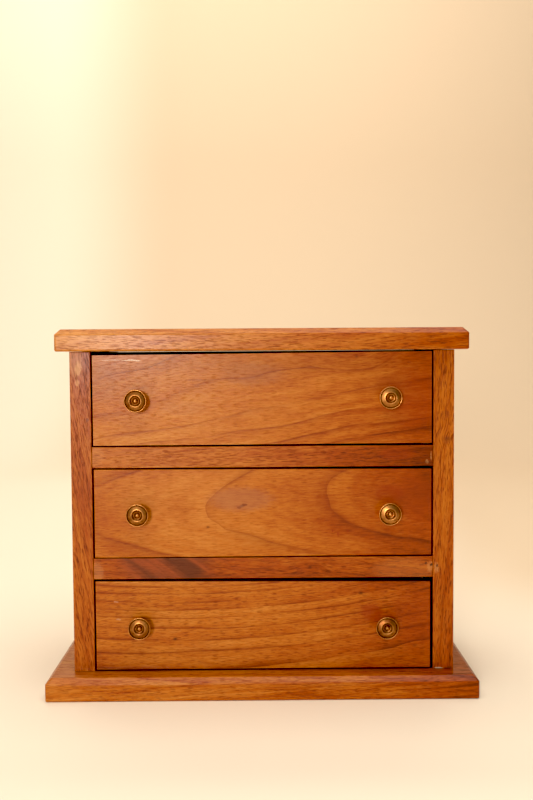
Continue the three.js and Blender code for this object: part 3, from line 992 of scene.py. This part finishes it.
class CHEST_OT_knobs(bpy.types.Operator):
    """Turn the six brass knobs"""

    bl_idname = "chest.knobs"
    bl_label = "Knobs"

    def execute(self, context):
        profile = curve_through([(r * MM, h * MM) for r, h in KNOB_PROFILE], 5)
        for seed, tier in enumerate(TIERS):
            for hand in HANDS:
                node = f"{tier}_drawer_{hand}_knob"
                low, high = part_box(node)
                name = f"{tier}_{hand}_turned_knob"
                mesh = turned_mesh(name, profile, KNOB_SIDES, KNOB_DENT, seed * 3)
                mesh.transform(Matrix.Rotation(math.radians(seed * 47), 4, "Y"))
                knob = add_object(mesh.name, mesh)
                knob.location = ((low.x + high.x) / 2, FRONT_Y, (low.z + high.z) / 2)
                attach(knob, f"{tier}_drawer")
                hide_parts(node)
                tag = seed * 2 + HANDS.index(hand)
                shine = KNOB_BRIGHTNESS[hand][seed]
                mesh.materials.append(brass(f"brass_{tier}_{hand}", tag, shine))
        return {"FINISHED"}


FELT_GRID = (120, 56)  # columns and rows of a lining's mesh
FELT_EDGE = 5 * MM  # how wide the rim is that lifts
FELT_LIFT = 0.35 * MM
FELT_SWELL = 0.12 * MM
FELT_WAVER = 0.25 * MM  # how far the cut edges stray
FELT_DROP = 0.2 * MM  # how far the cloth lies below the top of the space for it


class CHEST_OT_linings(bpy.types.Operator):
    """Lay a felt lining in each drawer"""

    bl_idname = "chest.linings"
    bl_label = "Linings"

    def execute(self, context):
        material = felt("green_felt")
        for seed, tier in enumerate(TIERS):
            node = f"{tier}_drawer_lining"
            low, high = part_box(node)
            lining = self.cloth(f"{tier}_felt_lining", low, high, seed)
            lining.data.materials.append(material)
            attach(lining, f"{tier}_drawer")
            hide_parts(node)
        return {"FINISHED"}

    @staticmethod
    def cloth(name, low, high, seed):
        """A sheet that lies flat, a little lifted and uneven along its cut edges."""
        columns, rows = FELT_GRID
        shape = bmesh.new()
        grid = []
        for j in range(rows + 1):
            v = j / rows
            for i in range(columns + 1):
                u = i / columns
                rim = min(u, 1 - u) * (high.x - low.x), min(v, 1 - v) * (high.y - low.y)
                near_edge = max(0.0, 1 - min(rim) / FELT_EDGE)
                at = Vector((u * 9, v * 4.2, seed * 5.3))
                lift = FELT_LIFT * near_edge * (0.5 + noise.noise(at * 2.3))
                swell = FELT_SWELL * noise.noise(at * 1.1)
                inset = FELT_WAVER * noise.noise(at * 3.1 + Vector((7, 0, 0)))
                x = low.x + u * (high.x - low.x) + inset * (1 if u < 0.5 else -1) * (u in (0, 1))
                y = low.y + v * (high.y - low.y) + inset * (1 if v < 0.5 else -1) * (v in (0, 1))
                grid.append(shape.verts.new((x, y, high.z - FELT_DROP + lift + swell)))
        for j in range(rows):
            for i in range(columns):
                a = j * (columns + 1) + i
                shape.faces.new((grid[a], grid[a + 1], grid[a + columns + 2], grid[a + columns + 1]))
        piece = add_object(name, smooth_mesh(name, shape))
        solid = piece.modifiers.new("Felt thickness", "SOLIDIFY")
        solid.thickness = high.z - low.z - FELT_LIFT
        solid.offset = -1
        return piece


# A screw's proportions: for each unit of its head's radius, and the slot's depth for the head's height.
HEAD_HEIGHT = 0.65
SHANK = 0.5
SLOT_WIDTH = 0.26
SLOT_DEPTH = 0.55


class CHEST_OT_screws(bpy.types.Operator):
    """Make the slotted screws of the back panel and the knobs, and finish the base screws"""

    bl_idname = "chest.screws"
    bl_label = "Screws"

    def execute(self, context):
        plated = steel("plated_steel")
        old_brass = brass("screw_brass", 20, 0.1)
        for index, node in enumerate(sorted(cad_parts)):
            if not node.endswith("screw"):
                continue
            turn = random.Random(index).uniform(0, math.pi)
            low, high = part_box(node)
            if node.endswith("back_screw"):
                self.pan_head(node, "case", low, high, turn, old_brass, "aged_brass")
            elif node.endswith("knob_screw"):
                body = node.split("_drawer")[0] + "_drawer"
                self.pan_head(node, body, low, high, turn, plated, "zinc_steel")
            else:
                dress(node, plated)
        return {"FINISHED"}

    @staticmethod
    def pan_head(node, body, low, high, turn, material, slot_name):
        """A slotted screw that stands for a packed one; its head is at the +Y end."""
        head = (high.x - low.x) / 2
        tall = head * HEAD_HEIGHT
        length = high.y - low.y
        shank = head * SHANK
        outline = curve_through(
            [
                (0.0, tall), (head * 0.45, tall * 0.97), (head * 0.8, tall * 0.75),
                (head * 0.97, tall * 0.35), (head, 0.12 * tall), (head * 0.97, 0.0),
                (head * 0.97, 0.0), (shank, 0.0), (shank, 0.0), (shank, tall - length + shank),
                (shank, tall - length + shank), (0.0, tall - length),
            ],
            4,
        )
        mesh = turned_mesh(f"{node}_slotted", outline, 40)
        mesh.transform(Matrix.Rotation(math.pi, 4, "Z"))
        screw = add_object(mesh.name, mesh)
        screw.location = ((low.x + high.x) / 2, high.y - tall, (low.z + high.z) / 2)
        bpy.context.view_layer.update()
        cut_slot(screw, head * SLOT_WIDTH, tall * SLOT_DEPTH, -tall, head, turn)
        screw.data.materials.clear()
        screw.data.materials.append(material)
        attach(screw, body)
        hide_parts(node)


# Each lamp's place, the point it faces, and its width and height.
LAMPS = {
    "window": ((-0.47, -2.45, 0.56), (0, 0, 0.2), (0.36, 0.42)),
    "overhead": ((0, -0.45, 2.2), (0, 0, 0), (2.2, 2.0)),
    "backdrop": ((-0.25, 1.1, 2.5), (-0.15, 2.5, 0.9), (2.2, 0.8)),
}
LAMP_TINT = (1, 0.94, 0.84)
CAMERA_TURN = (2.937, 0.349, -0.367)  # degrees down, to the right, and of roll
CAMERA_PLACE = (-1.3 * MM, FRONT_Y - 0.8232, 0.3071)
SENSOR_WIDTH = 36.0  # mm

# The sweep's near edge, where it starts to curve up, the curve's radius, its height and half width.
SWEEP = (-2.2, 1.5, 1.0, 3.4, 6.0)
CURVE_STEPS = 24
# Where the shade begins and is full: across and back on the wall, and on the floor at the right.
WALL_SHADE = ((-0.75, -0.3), (1.2, 1.9))
FLOOR_SHADE = ((0.1, 0.4), (0.02, 0.4))


class CHEST_OT_stage(bpy.types.Operator):
    """Set the plain floor, the soft lamps and the camera"""

    bl_idname = "chest.stage"
    bl_label = "Stage"

    def execute(self, context):
        studio = context.scene.chest_studio
        self.sweep(studio)
        self.ambient(context.scene, studio)
        for name, (place, aim, size) in LAMPS.items():
            self.lamp(name, place, aim, size, getattr(studio, name))
        self.camera(context.scene, studio)
        return {"FINISHED"}

    @staticmethod
    def sweep(studio):
        """A floor that curves up into a wall well behind the chest."""
        near, bend, radius, tall, half = SWEEP
        profile = [(near, 0.0)]
        profile += [
            (bend + radius * math.sin(a), radius - radius * math.cos(a))
            for a in (math.pi / 2 * i / CURVE_STEPS for i in range(CURVE_STEPS + 1))
        ]
        profile.append((bend + radius, tall))
        vertices = [(x, y, z) for x in (-half, half) for y, z in profile]
        count = len(profile)
        faces = [(i, i + 1, count + i + 1, count + i) for i in range(count - 1)]
        mesh = bpy.data.meshes.new("sweep")
        mesh.from_pydata(vertices, [], faces)
        mesh.polygons.foreach_set("use_smooth", [True] * len(mesh.polygons))
        recipe = Recipe("pale_floor")
        place = recipe.node("TexCoord", out="Object")
        mottle = recipe.noise(place, 3.0, 0.5, scale=3.0)
        x, y = recipe.node("SeparateXYZ", None, {0: place}, ("X", "Y"))
        paint = recipe.mix(mottle, [v * 0.985 for v in studio.floor], studio.floor)
        wall, ground = (
            recipe.smooth(x, *across) * recipe.smooth(y, *back) for across, back in (WALL_SHADE, FLOOR_SHADE)
        )
        paint = recipe.mix(wall.most(ground), paint, studio.shade)
        mesh.materials.append(recipe.finish({"Base Color": paint, "Roughness": 0.85}))
        floor = add_object("floor_sweep", mesh)

    @staticmethod
    def ambient(scene, studio):
        """Even light from all round, with the darkest tones shown as black."""
        world = bpy.data.worlds.new("soft_room")
        world.use_nodes = True
        sky = world.node_tree.nodes["Background"]
        sky.inputs["Color"].default_value = (*studio.sky, 1)
        sky.inputs["Strength"].default_value = studio.ambient
        scene.world = world
        scene.view_settings.view_transform = "Standard"
        scene.view_settings.use_curve_mapping = True
        curves = scene.view_settings.curve_mapping
        curves.black_level = (studio.blacks,) * 3
        curves.update()

    @staticmethod
    def lamp(name, place, aim, size, power):
        """A soft rectangular lamp, unseen by the camera."""
        data = bpy.data.lights.new(name, "AREA")
        data.shape = "RECTANGLE"
        data.size, data.size_y = size
        data.energy = power
        data.color = LAMP_TINT
        lamp = add_object(name, data)
        lamp.location = place
        lamp.rotation_mode = "QUATERNION"
        lamp.rotation_quaternion = (Vector(aim) - Vector(place)).to_track_quat("-Z", "Y")
        lamp.visible_camera = False

    @staticmethod
    def camera(scene, studio):
        """Stands close in front at the height of the top board, looking a little down."""
        data = bpy.data.cameras.new("portrait")
        data.sensor_width = SENSOR_WIDTH
        data.lens = studio.lens
        data.clip_start, data.clip_end = 0.01, 50
        camera = add_object("portrait", data)
        pitch, yaw, roll = (math.radians(angle) for angle in CAMERA_TURN)
        forward = Vector(
            (math.sin(yaw) * math.cos(pitch), math.cos(yaw) * math.cos(pitch), -math.sin(pitch))
        )
        level = Vector((math.cos(yaw), -math.sin(yaw), 0))
        above = level.cross(forward)
        right = level * math.cos(roll) + above * math.sin(roll)
        up = above * math.cos(roll) - level * math.sin(roll)
        turn = Matrix((right, up, -forward)).transposed().to_4x4()
        camera.matrix_world = Matrix.Translation(CAMERA_PLACE) @ turn
        scene.camera = camera


class CHEST_PT_panel(bpy.types.Panel):
    """The chest's colours and its finishing steps."""

    bl_label = "Jewellery Chest"
    bl_idname = "CHEST_PT_panel"
    bl_space_type = "VIEW_3D"
    bl_region_type = "UI"
    bl_category = "Chest"

    def draw(self, context):
        for name in GROUPS:
            box = self.layout.box()
            group = getattr(context.scene, name)
            box.label(text=group.__doc__)
            for key in group.__annotations__:
                box.prop(group, key)
        for operator in OPERATORS:
            self.layout.operator(operator.bl_idname)


GROUPS = {
    "chest_timber": ChestTimber,
    "chest_brass": ChestBrass,
    "chest_felt": ChestFelt,
    "chest_studio": ChestStudio,
}
OPERATORS = (
    CHEST_OT_stage,
    CHEST_OT_case,
    CHEST_OT_inner_timber,
    CHEST_OT_drawers,
    CHEST_OT_knobs,
    CHEST_OT_linings,
    CHEST_OT_screws,
)
CLASSES = (*GROUPS.values(), *OPERATORS, CHEST_PT_panel)


def register():
    for cls in CLASSES:
        bpy.utils.register_class(cls)
    for name, group in GROUPS.items():
        setattr(bpy.types.Scene, name, PointerProperty(type=group))


def unregister():
    for name in GROUPS:
        delattr(bpy.types.Scene, name)
    for cls in reversed(CLASSES):
        bpy.utils.unregister_class(cls)


def main():
    register()
    for operator in OPERATORS:
        family, name = operator.bl_idname.split(".")
        getattr(getattr(bpy.ops, family), name)()


if __name__ == "__main__":
    main()
